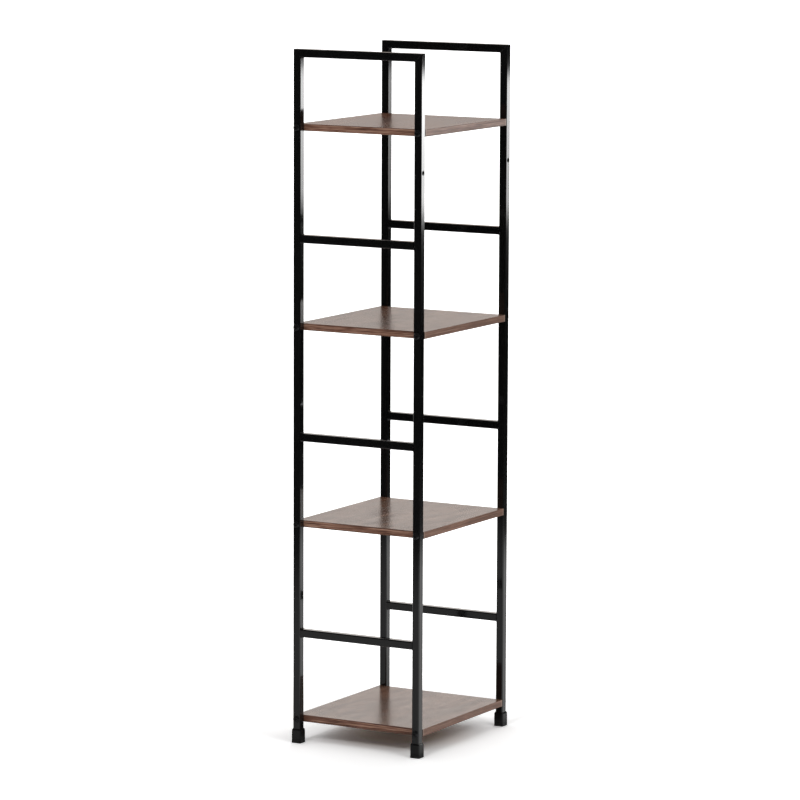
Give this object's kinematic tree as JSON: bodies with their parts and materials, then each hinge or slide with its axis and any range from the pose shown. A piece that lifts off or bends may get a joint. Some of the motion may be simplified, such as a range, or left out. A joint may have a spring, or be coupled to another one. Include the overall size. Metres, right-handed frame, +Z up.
{
  "type": "shelving unit",
  "caption": "Slim free-standing open rack: wood-look boards screwed between two welded ladder frames of black square tube, on plastic foot caps.",
  "frame": {"origin": "on the floor, at the middle of the footprint", "axes": "+Z up; +X from the left side frame to the right one; -Y towards the front, the open side that the picture shows and whose posts have the tie holes"},
  "size_m": [0.3204, 0.2542, 1.2],
  "materials": {
    "frame_steel": "glossy black powder coat",
    "frame_weld": "glossy black powder coat over weld beads",
    "foot_plastic": "black moulded plastic, satin",
    "board_laminate": "semi-gloss dark walnut laminate",
    "edge_band": "dark walnut edge band, semi-gloss",
    "screw_black": "black oxide, semi-gloss",
    "insert_metal": "turned, dull"
  },
  "bodies": {
    "root": {"left_front_post": "frame_steel", "left_front_foot_cap": "foot_plastic", "left_back_post": "frame_steel", "left_back_foot_cap": "foot_plastic", "left_top_rail": "frame_steel", "left_lower_rung": "frame_steel", "left_middle_rung": "frame_steel", "left_upper_rung": "frame_steel", "left_frame_welds": "frame_weld", "right_front_post": "frame_steel", "right_front_foot_cap": "foot_plastic", "right_back_post": "frame_steel", "right_back_foot_cap": "foot_plastic", "right_top_rail": "frame_steel", "right_lower_rung": "frame_steel", "right_middle_rung": "frame_steel", "right_upper_rung": "frame_steel", "right_frame_welds": "frame_weld", "bottom_shelf_board": "board_laminate", "bottom_shelf_edge_bands": "edge_band", "bottom_shelf_screws": "screw_black", "bottom_shelf_inserts": "insert_metal", "lower_shelf_board": "board_laminate", "lower_shelf_edge_bands": "edge_band", "lower_shelf_screws": "screw_black", "lower_shelf_inserts": "insert_metal", "upper_shelf_board": "board_laminate", "upper_shelf_edge_bands": "edge_band", "upper_shelf_screws": "screw_black", "upper_shelf_inserts": "insert_metal", "top_shelf_board": "board_laminate", "top_shelf_edge_bands": "edge_band", "top_shelf_screws": "screw_black", "top_shelf_inserts": "insert_metal"}
  },
  "joints": []
}
